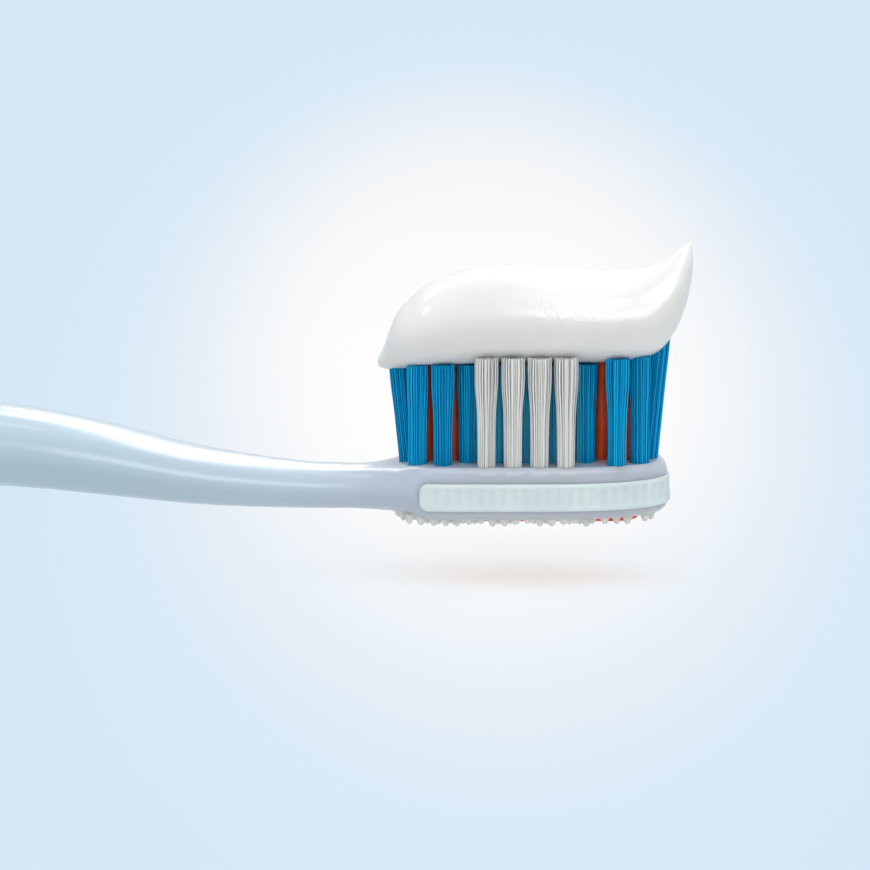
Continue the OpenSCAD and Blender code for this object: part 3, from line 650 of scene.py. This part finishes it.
def makeNubTree():
    tree, given = startTree("nubField", {
        "Places": "Geometry", "Root radius": "Float", "Lean": "Float", "Seed": "Int", "Material": "Material"})
    # one nub, a millimetre high and hanging down from its root
    blank = addNode(tree, "GeometryNodeMeshCylinder", inputs={
        "Vertices": 10, "Side Segments": 7, "Radius": given["Root radius"], "Depth": mm})
    here = addNode(tree, "GeometryNodeInputPosition").outputs[0]
    xyz = addNode(tree, "ShaderNodeSeparateXYZ", inputs={"Vector": here}).outputs
    down = addNode(tree, "ShaderNodeMapRange", inputs={"Value": xyz["Z"], "From Min": mm / 2, "From Max": -mm / 2})
    form = addNode(tree, "ShaderNodeFloatCurve", inputs={"Value": down.outputs[0]})
    shapeCurve(form, nubSpec["form"])
    slim = addNode(tree, "ShaderNodeMath", {"operation": "SUBTRACT"}, {0: form.outputs[0], 1: 1.0})
    level = addNode(tree, "ShaderNodeCombineXYZ", inputs={"X": xyz["X"], "Y": xyz["Y"]})
    pull = addNode(tree, "ShaderNodeVectorMath", {"operation": "SCALE"}, {
        0: level.outputs[0], "Scale": slim.outputs[0]})
    hang = addNode(tree, "ShaderNodeVectorMath", {"operation": "ADD"}, {0: pull.outputs[0], 1: (0, 0, -mm / 2)})
    nub = addNode(tree, "GeometryNodeSetPosition", inputs={
        "Geometry": blank.outputs["Mesh"], "Offset": hang.outputs[0]})
    tall = addNode(tree, "GeometryNodeInputNamedAttribute", {"data_type": "FLOAT"}, {"Name": "nubTall"})
    slimmest, widest = nubSpec["girth"]
    girth = addNode(tree, "FunctionNodeRandomValue", {"data_type": "FLOAT"}, {
        "Min": slimmest, "Max": widest, "Seed": given["Seed"]})
    scale = addNode(tree, "ShaderNodeCombineXYZ", inputs={
        "X": girth.outputs[1], "Y": girth.outputs[1], "Z": tall.outputs[0]})
    lean = addNode(tree, "FunctionNodeRandomValue", {"data_type": "FLOAT_VECTOR"}, {
        0: (-1, -1, -3), 1: (1, 1, 3), "Seed": given["Seed"]})
    tilt = addNode(tree, "ShaderNodeVectorMath", {"operation": "SCALE"}, {0: lean.outputs[0], "Scale": given["Lean"]})
    places = addNode(tree, "GeometryNodeMeshToPoints", inputs={"Mesh": given["Places"]})
    field = addNode(tree, "GeometryNodeInstanceOnPoints", inputs={
        "Points": places.outputs[0], "Instance": nub.outputs[0], "Rotation": tilt.outputs[0],
        "Scale": scale.outputs[0]})
    endTree(tree, field.outputs[0], given["Material"])
    return tree


def makeNubs():
    places = nubPlaces()
    points = bpy.data.meshes.new("nubPlaces")
    seats = [nubSpec["seat"] + nubSpec["heelLift"] * heelShare(x) for x, _, _ in places]
    points.from_pydata([toModel(x, y, head["backZ"] + s) for (x, y, _), s in zip(places, seats)], [], [])
    tall = points.attributes.new("nubTall", "FLOAT", "POINT")
    tall.data.foreach_set("value", [h + nubSpec["seat"] + nubSpec["heelLonger"] * (s - nubSpec["seat"])
                                    for (_, _, h), s in zip(places, seats)])
    return runTree("tongueCleanerNubs", makeNubTree(), {
        "Root radius": nubSpec["rootRadius"] * mm, "Lean": math.radians(nubSpec["lean"]), "Seed": nubSpec["seed"],
        "Material": nubRubber}, start=points)


def makePad():  # the CAD's pad without its plain nubs
    piece = smoothCopy("tongueCleanerPad", "tongue_cleaner", nubSpec["padSharp"])
    work = bmesh.new()
    work.from_mesh(piece.data)
    plain = [v for v in work.verts if v.co.z < (head["backZ"] - 0.01) * mm]  # what hangs below the pad
    bmesh.ops.delete(work, geom=plain, context="VERTS")
    openEdges = [e for e in work.edges if e.is_boundary]
    bmesh.ops.holes_fill(work, edges=openEdges, sides=0)
    for v in work.verts:
        v.co.z += nubSpec["heelLift"] * mm * heelShare(v.co.x / mm - head["middleX"])
    bmesh.ops.recalc_face_normals(work, faces=work.faces)
    work.to_mesh(piece.data)
    work.free()
    piece.data.set_sharp_from_angle(angle=math.radians(nubSpec["padSharp"]))
    return piece


dress(makePad(), nubRubber, "grey_rubber", "tongue_cleaner")
dress(makeNubs(), nubRubber, "grey_rubber", "tongue_cleaner")
print("tongue cleaner made")


# ---- bristle bundles: every tuft is a bundle of filaments
bristleSpec = {
    "filaments": 84,  # in a bundle of one millimetre radius
    "filamentRadius": 0.086,  # 7 thousandths of an inch nylon is 0.18 mm thick
    "opening": [(0.0, 0.0), (0.5, 0.2), (0.85, 1.0), (1.0, 0.95)],  # share of the height, share of the flare
    "cadTopShare": 0.64,  # share of the flare at the very top of the CAD tuft
    "rootBand": 0.25,  # how much of the CAD tuft counts as its root, and how much as its top
    "topBand": 0.35,
    "fuller": 0.045,  # the loose filaments take a little more room than the plain tuft
    "longer": 0.05,
    "stray": 0.12,
    "strayNoise": 5200.0,  # to the metre, about the distance between two filaments
    "strayBend": 1.3,  # how much the straying changes on the way up
    "seedStep": 3.7,  # how far apart in the noise two bundles are
    "uneven": 0.3,  # how much shorter the shortest filament is
    "turn": 2.399963,  # the golden angle, from each filament to the next
    "sides": 5,
    "steps": 12,
    "sinkBelowFace": 0.5,
    "firstSeed": 3,
}


def makeBristleTree():
    tree, given = startTree("bristleBundle", {
        "Filaments": "Int", "Root radius": "Float", "Height": "Float", "Flare": "Float",
        "Filament radius": "Float", "Stray": "Float", "Uneven": "Float", "Seed": "Int", "Material": "Material"})
    # filaments stand in a sunflower pattern, which fills the round hole evenly
    index = addNode(tree, "GeometryNodeInputIndex")
    turn = addNode(tree, "ShaderNodeMath", {"operation": "MULTIPLY"}, {0: index.outputs[0], 1: bristleSpec["turn"]})
    middle = addNode(tree, "ShaderNodeMath", {"operation": "ADD"}, {0: index.outputs[0], 1: 0.5})
    area = addNode(tree, "ShaderNodeMath", {"operation": "DIVIDE"}, {0: middle.outputs[0], 1: given["Filaments"]})
    share = addNode(tree, "ShaderNodeMath", {"operation": "SQRT"}, {0: area.outputs[0]})
    room = addNode(tree, "ShaderNodeMath", {"operation": "SUBTRACT"}, {
        0: given["Root radius"], 1: given["Filament radius"]})
    reach = addNode(tree, "ShaderNodeMath", {"operation": "MULTIPLY"}, {0: share.outputs[0], 1: room.outputs[0]})
    spot = addNode(tree, "ShaderNodeCombineXYZ")
    for axis, operation in (("X", "COSINE"), ("Y", "SINE")):
        part = addNode(tree, "ShaderNodeMath", {"operation": operation}, {0: turn.outputs[0]})
        side = addNode(tree, "ShaderNodeMath", {"operation": "MULTIPLY"}, {0: reach.outputs[0], 1: part.outputs[0]})
        tree.links.new(side.outputs[0], spot.inputs[axis])
    spots = addNode(tree, "GeometryNodePoints", inputs={"Count": given["Filaments"], "Position": spot.outputs[0]})
    tone = addNode(tree, "FunctionNodeRandomValue", {"data_type": "FLOAT"}, {"Seed": given["Seed"]})
    toned = addNode(tree, "GeometryNodeStoreNamedAttribute", {"data_type": "FLOAT", "domain": "POINT"}, {
        "Geometry": spots.outputs[0], "Name": "strandTone"})
    tree.links.new(tone.outputs[1], toned.inputs["Value"])
    top = addNode(tree, "ShaderNodeCombineXYZ", inputs={"Z": given["Height"]})
    line = addNode(tree, "GeometryNodeCurvePrimitiveLine", inputs={"End": top.outputs[0]})
    steps = addNode(tree, "GeometryNodeResampleCurve", inputs={
        "Curve": line.outputs[0], "Count": bristleSpec["steps"]})
    stood = addNode(tree, "GeometryNodeInstanceOnPoints", inputs={
        "Points": toned.outputs[0], "Instance": steps.outputs[0]})
    real = addNode(tree, "GeometryNodeRealizeInstances", inputs={"Geometry": stood.outputs[0]})

    # they open out below their tops
    rise = addNode(tree, "GeometryNodeSplineParameter").outputs["Factor"]
    here = addNode(tree, "GeometryNodeInputPosition").outputs[0]
    xyz = addNode(tree, "ShaderNodeSeparateXYZ", inputs={"Vector": here}).outputs
    bulge = addNode(tree, "ShaderNodeFloatCurve", inputs={"Value": rise})
    shapeCurve(bulge, bristleSpec["opening"])
    splay = addNode(tree, "ShaderNodeMath", {"operation": "DIVIDE"}, {0: given["Flare"], 1: given["Root radius"]})
    opening = addNode(tree, "ShaderNodeMath", {"operation": "MULTIPLY"}, {0: bulge.outputs[0], 1: splay.outputs[0]})

    # and each strays a little from its neighbours, and ends a little lower, by its own place in a noise
    bend = addNode(tree, "ShaderNodeMath", {"operation": "MULTIPLY"}, {0: rise, 1: bristleSpec["strayBend"]})
    layer = addNode(tree, "ShaderNodeMath", {"operation": "MULTIPLY_ADD"}, {
        0: given["Seed"], 1: bristleSpec["seedStep"], 2: bend.outputs[0]})
    lift = addNode(tree, "ShaderNodeCombineXYZ", inputs={"Z": layer.outputs[0]})
    own = addNode(tree, "ShaderNodeVectorMath", {"operation": "MULTIPLY_ADD"}, {
        0: here, 1: (bristleSpec["strayNoise"], bristleSpec["strayNoise"], 0), 2: lift.outputs[0]})
    noise = addNode(tree, "ShaderNodeTexNoise", inputs={"Vector": own.outputs[0], "Scale": 1.0, "Detail": 1.0})
    drift = addNode(tree, "ShaderNodeSeparateXYZ", inputs={"Vector": noise.outputs["Color"]}).outputs
    growing = addNode(tree, "ShaderNodeMath", {"operation": "MULTIPLY"}, {0: rise, 1: 2.0})
    stray = addNode(tree, "ShaderNodeMath", {"operation": "MULTIPLY"}, {0: given["Stray"], 1: growing.outputs[0]})
    lowered = drift["Z"]
    for factor in (rise, given["Uneven"], -1.0):
        lowered = addNode(tree, "ShaderNodeMath", {"operation": "MULTIPLY"}, {0: lowered, 1: factor}).outputs[0]
    move = addNode(tree, "ShaderNodeCombineXYZ", inputs={"Z": lowered})
    for axis in "XY":
        off = addNode(tree, "ShaderNodeMath", {"operation": "SUBTRACT"}, {0: drift[axis], 1: 0.5})
        aside = addNode(tree, "ShaderNodeMath", {"operation": "MULTIPLY"}, {0: stray.outputs[0], 1: off.outputs[0]})
        out = addNode(tree, "ShaderNodeMath", {"operation": "MULTIPLY_ADD"}, {
            0: xyz[axis], 1: opening.outputs[0], 2: aside.outputs[0]})
        tree.links.new(out.outputs[0], move.inputs[axis])
    opened = addNode(tree, "GeometryNodeSetPosition", inputs={
        "Geometry": real.outputs[0], "Offset": move.outputs[0]})
    ring = addNode(tree, "GeometryNodeCurvePrimitiveCircle", inputs={
        "Resolution": bristleSpec["sides"], "Radius": given["Filament radius"]})
    solid = addNode(tree, "GeometryNodeCurveToMesh", inputs={
        "Curve": opened.outputs[0], "Profile Curve": ring.outputs[0], "Fill Caps": True})
    endTree(tree, solid.outputs[0], given["Material"])
    return tree


def tuftAxis(node):  # root on the face, direction, root radius, flare and height, read from the CAD tuft
    spots = {tuple(round(c, 7) for c in v.co) for v in nodes[node].data.vertices}
    lowest = min(z for _, _, z in spots)
    highest = max(z for _, _, z in spots)
    bottom = [Vector(p) for p in spots if p[2] < lowest + bristleSpec["rootBand"] * mm]
    top = [Vector(p) for p in spots if p[2] > highest - bristleSpec["topBand"] * mm]
    low = sum(bottom, Vector()) / len(bottom)
    high = sum(top, Vector()) / len(top)
    axis = (high - low).normalized()
    root = low + axis * ((head["faceZ"] * mm - low.z) / axis.z)
    radius = max((p - low).length for p in bottom)
    flare = (max((p - high).length for p in top) - radius) / bristleSpec["cadTopShare"]
    return root, axis, radius, flare, (high - root).length


bristleTree = makeBristleTree()
tufts = sorted(n for n in nodes if n.startswith("white_tuft_") or n.startswith("blue_tuft_"))
sink = bristleSpec["sinkBelowFace"] * mm
for number, node in enumerate(tufts):
    root, axis, radius, flare, height = tuftAxis(node)
    white = node.startswith("white")
    nylon = whiteNylon if white else blueNylon
    bundle = runTree(node.replace("_tuft_", "Bristles"), bristleTree, {
        "Filaments": round(bristleSpec["filaments"] * (radius / mm) ** 2),
        "Root radius": radius + bristleSpec["fuller"] * mm,
        "Height": height + sink + bristleSpec["longer"] * mm,
        "Flare": flare,
        "Filament radius": bristleSpec["filamentRadius"] * mm,
        "Stray": bristleSpec["stray"] * mm,
        "Uneven": bristleSpec["uneven"] * mm,
        "Seed": number + bristleSpec["firstSeed"],
        "Material": nylon,
    })
    turn = Vector((0, 0, 1)).rotation_difference(axis).to_matrix().to_4x4()
    bundle.data.transform(Matrix.Translation(root - axis * sink) @ turn)
    dress(bundle, nylon, "white_filament" if white else "blue_filament", node)
print(len(tufts), "bristle bundles made")


# ---- toothpaste: one soft wave laid along the bristles
pasteSpec = {
    "width": 13.0,
    "bristleTop": 10.65,  # above the face
    "sunk": 0.1,  # how far it sits down among the bristles
    "heelFloor": 9.5,  # how low it may hang over the heel tufts
    "around": 72,
    "along": 150,
    "fieldFromX": -12.6,  # the paste hangs over the heel tufts, and lies flat on the rest
    "fieldBlend": 1.6,
    "softEdge": 0.45,  # how round the edge is where the paste turns under
}
# from the heel tip to the toe tip: x, height above the face, half thickness, tilt in degrees, share of the width
pasteRows = [
    (-15.92, 10.25, 0.05, 10, 0.02), (-15.72, 10.3, 0.55, 10, 0.15), (-15.08, 10.75, 1.2, 10, 0.31),
    (-14.3, 11.7, 2.1, 9, 0.5), (-13.4, 12.7, 3.0, 7, 0.67), (-12.1, 13.42, 3.67, 6, 0.81),
    (-10.05, 14.32, 4.45, 4, 0.92),
    (-7.1, 15.01, 4.93, 1, 0.98), (-2.9, 15.47, 5.2, 0, 1.0), (1.3, 15.47, 5.15, 0, 1.0),
    (5.6, 15.31, 4.96, 0, 0.985), (9.5, 15.23, 4.78, 3, 0.96), (12.75, 15.87, 4.51, 10, 0.89),
    (14.6, 17.4, 3.73, 15.7, 0.71), (15.8, 19.1, 2.84, 17.4, 0.53), (16.55, 20.63, 1.98, 19.6, 0.36),
    (16.98, 21.9, 1.15, 21.8, 0.2), (17.15, 23.0, 0.3, 24, 0.05),
]


def softMax(a, b, k):  # the higher of two heights, blended where they come within k of each other
    h = max(0.0, k - abs(a - b)) / k
    return max(a, b) + h * h * k / 4


def makePasteWave():
    table = [(i,) + row for i, row in enumerate(pasteRows)]
    low, high = pasteSpec["heelFloor"], pasteSpec["bristleTop"] - pasteSpec["sunk"]
    rings = []
    for i in range(pasteSpec["along"] + 1):
        u = i * (len(pasteRows) - 1) / pasteSpec["along"]
        x, height, thick, lean, width = (smoothCurve(table, u, c) for c in range(1, 6))
        lean = math.radians(lean)
        ring = []
        for j in range(pasteSpec["around"]):
            a = 2 * math.pi * j / pasteSpec["around"]
            px = x - thick * math.sin(a) * math.sin(lean)
            py = width * pasteSpec["width"] / 2 * math.cos(a)
            pz = height + thick * math.sin(a) * math.cos(lean)
            onField = fade(px, pasteSpec["fieldFromX"], pasteSpec["fieldBlend"])
            onField = onField * onField * (3 - 2 * onField)
            pz = softMax(pz, low + (high - low) * onField, pasteSpec["softEdge"])
            ring.append(toModel(px, py, head["faceZ"] + pz))
        rings.append(ring)
    return loftPiece("pasteWave", rings)


pastePiece = makePasteWave()
dress(pastePiece, pasteCream, "paste", "toothpaste")
print("toothpaste made")


# ---- anchor plates stay as the CAD made them
plates = nodes["anchor_plates"]
plates.data.materials.clear()
plates.data.materials.append(anchorMetal)


# ---- floor: plain and pale, white in the middle and pale blue further out
floorSpec = {
    "height": -6.3,  # the photograph's brush hangs a little above it
    "centre": (125.0, 130.0),
    "reach": (31.0, 150.0),  # the tones' places are shares of this
    "tones": [(0.0, "#FFFDFC"), (0.55, "#FDFCFB"), (0.8, "#F7F8FA"), (1.0, "#EFF4F8"), (1.25, "#E4EEF7"),
              (1.5, "#DAEAF7"), (1.8, "#D6E8F7")],
    "shadowShare": 0.33,  # how much of its tone answers to light, so that its shadow stays faint
    "shadowEnds": (0.45, 1.25),  # the share begins to fall at the first and is gone at the second
    "lit": "#FEFDFC",
    "paintedTintAt": (129.0, -0.9),  # painted light: a warm tint painted under the head, for the orange cups' colour in its shadow
    "paintedTintReach": (19.0, 8.0),
    "paintedShadowTint": "#FDF1EB",
    "bounce": "#EBECED",  # what it sends back up at the brush
}


def seenRays(tree):  # 1 for the rays that show a thing itself, also through gloss or glass, and 0 for its light
    rays = addNode(tree, "ShaderNodeLightPath")
    gloss = addNode(tree, "ShaderNodeMath", {"operation": "MAXIMUM"}, {
        0: rays.outputs["Is Glossy Ray"], 1: rays.outputs["Is Transmission Ray"]})
    return addNode(tree, "ShaderNodeMath", {"operation": "MAXIMUM"}, {
        0: rays.outputs["Is Camera Ray"], 1: gloss.outputs[0]}).outputs[0]


def makeFloor():
    mesh = bpy.data.meshes.new("floor")
    z = floorSpec["height"] * mm
    mesh.from_pydata([(-3, -3, z), (3, -3, z), (3, 3, z), (-3, 3, z)], [], [(0, 1, 2, 3)])
    floor = addObject("floor", mesh)
    material = bpy.data.materials.new("painted_studio_floor")
    tree = blankTree(material)
    far = floorSpec["tones"][-1][0]
    mapped = centred(tree, floorSpec["centre"], [reach * far for reach in floorSpec["reach"]])
    away = addNode(tree, "ShaderNodeVectorMath", {"operation": "LENGTH"}, {0: mapped})
    tone = addNode(tree, "ShaderNodeValToRGB", inputs={"Fac": away.outputs["Value"]})
    setRamp(tone, [(share / far, colour) for share, colour in floorSpec["tones"]])
    # white as it is seen, with a share left to the light in the middle, where the brush casts its shadow
    fallsFrom, goneAt = floorSpec["shadowEnds"]
    shade = addNode(tree, "ShaderNodeMapRange", {"interpolation_type": "SMOOTHSTEP"}, {
        "Value": away.outputs["Value"], "From Min": fallsFrom / far, "From Max": goneAt / far,
        "To Min": 1 - floorSpec["shadowShare"]})
    # painted light: a faint warm patch under the head, multiplied into the floor's tone
    under = centred(tree, floorSpec["paintedTintAt"], floorSpec["paintedTintReach"])
    fromHead = addNode(tree, "ShaderNodeVectorMath", {"operation": "LENGTH"}, {0: under})
    paintedTintMask = addNode(tree, "ShaderNodeMapRange", {"interpolation_type": "SMOOTHSTEP"}, {
        "Value": fromHead.outputs["Value"], "From Min": 1.0, "From Max": 0.0})
    paintedTintedTone = addNode(tree, "ShaderNodeMix", {"data_type": "RGBA", "blend_type": "MULTIPLY"}, {
        0: paintedTintMask.outputs[0], 6: tone.outputs[0], 7: hexColour(floorSpec["paintedShadowTint"])})
    lit = addNode(tree, "ShaderNodeBsdfDiffuse", inputs={"Color": hexColour(floorSpec["lit"])})
    shown = addNode(tree, "ShaderNodeEmission", inputs={"Color": paintedTintedTone.outputs[2], "Strength": 1.0})
    seen = addNode(tree, "ShaderNodeMixShader", inputs={0: shade.outputs[0], 1: lit.outputs[0], 2: shown.outputs[0]})
    bounce = addNode(tree, "ShaderNodeBsdfDiffuse", inputs={"Color": hexColour(floorSpec["bounce"])})
    mixed = addNode(tree, "ShaderNodeMixShader", inputs={
        0: seenRays(tree), 1: bounce.outputs[0], 2: seen.outputs[0]})
    addNode(tree, "ShaderNodeOutputMaterial", inputs={"Surface": mixed.outputs[0]})
    mesh.materials.append(material)


makeFloor()


# ---- light: soft boxes above and in front, boxes that only reflect, and an even pale room
lightSpec = {
    "room": 0.66,
    "roomColour": "#F8F9FA",
    # these light the surfaces, and leave the reflections to the next ones
    "soft": {
        "overhead": {"at": (118, -60, 430), "size": (420, 300), "watts": 1.0},
        "front": {"at": (270, -330, 320), "size": (420, 300), "watts": 0.28},
        "fill": {"at": (150, -560, 130), "size": (160, 160), "watts": 0.15},
    },
    "aimHeight": 10,  # what they point at, in millimetres above the table
    # boxes that only reflect, level and 215 mm up, where the shine on the neck and the cream comes from
    "glossHeight": 215,
    "gloss": {
        "neckShine": {"at": (137, 219), "size": (50, 390), "turn": 10.5, "watts": 0.56},
        "heelShine": {"at": (28, 193), "size": (182, 34), "turn": -7.5, "watts": 0.23},
        "shoulderShine": {"at": (72, 22), "size": (70, 24), "watts": 0.03, "only": "handleMoulding"},
        "bellyShine": {"at": (205, -430), "size": (150, 320), "watts": 0.62},
        "sideShine": {"at": (440, -500), "size": (320, 640), "watts": 3.0, "only": "pasteWave"},
        "creamSheen": {"at": (212, -150), "size": (150, 230), "watts": 0.3, "only": "pasteWave"},
        "creamShine": {"at": (-75, 24), "size": (44, 40), "watts": 0.1, "only": "pasteWave"},
    },
}


def addSoftBox(name, size, watts):
    data = bpy.data.lights.new(name, "AREA")
    data.shape = "RECTANGLE"
    data.size, data.size_y = (s * mm for s in size)
    data.energy = watts
    return addObject(name, data)


def makeLight():
    world = bpy.data.worlds.new("room")
    tree = blankTree(world)
    level = addNode(tree, "ShaderNodeMapRange", inputs={
        "Value": seenRays(tree), "To Min": lightSpec["room"]})
    air = addNode(tree, "ShaderNodeBackground", inputs={
        "Color": hexColour(lightSpec["roomColour"]), "Strength": level.outputs[0]})
    addNode(tree, "ShaderNodeOutputWorld", inputs={"Surface": air.outputs[0]})
    bpy.context.scene.world = world
    for name, spec in lightSpec["soft"].items():
        box = addSoftBox(name + "Box", spec["size"], spec["watts"])
        box.location = Vector(spec["at"]) * mm
        towards = Vector((spec["at"][0], 0, lightSpec["aimHeight"])) * mm - box.location
        box.rotation_euler = towards.to_track_quat("-Z", "Y").to_euler()
        box.visible_glossy = False
    for name, spec in lightSpec["gloss"].items():
        box = addSoftBox(name, spec["size"], spec["watts"])
        box.location = Vector((*spec["at"], lightSpec["glossHeight"])) * mm
        box.rotation_euler = (0, 0, math.radians(spec.get("turn", 0)))
        box.visible_diffuse = False
        if "only" in spec:  # this box lights one piece alone
            lit = bpy.data.collections.new(name)
            lit.objects.link(bpy.data.objects[spec["only"]])
            box.light_linking.receiver_collection = lit


makeLight()
bpy.context.scene.view_settings.view_transform = "Standard"
print("stage and light set")
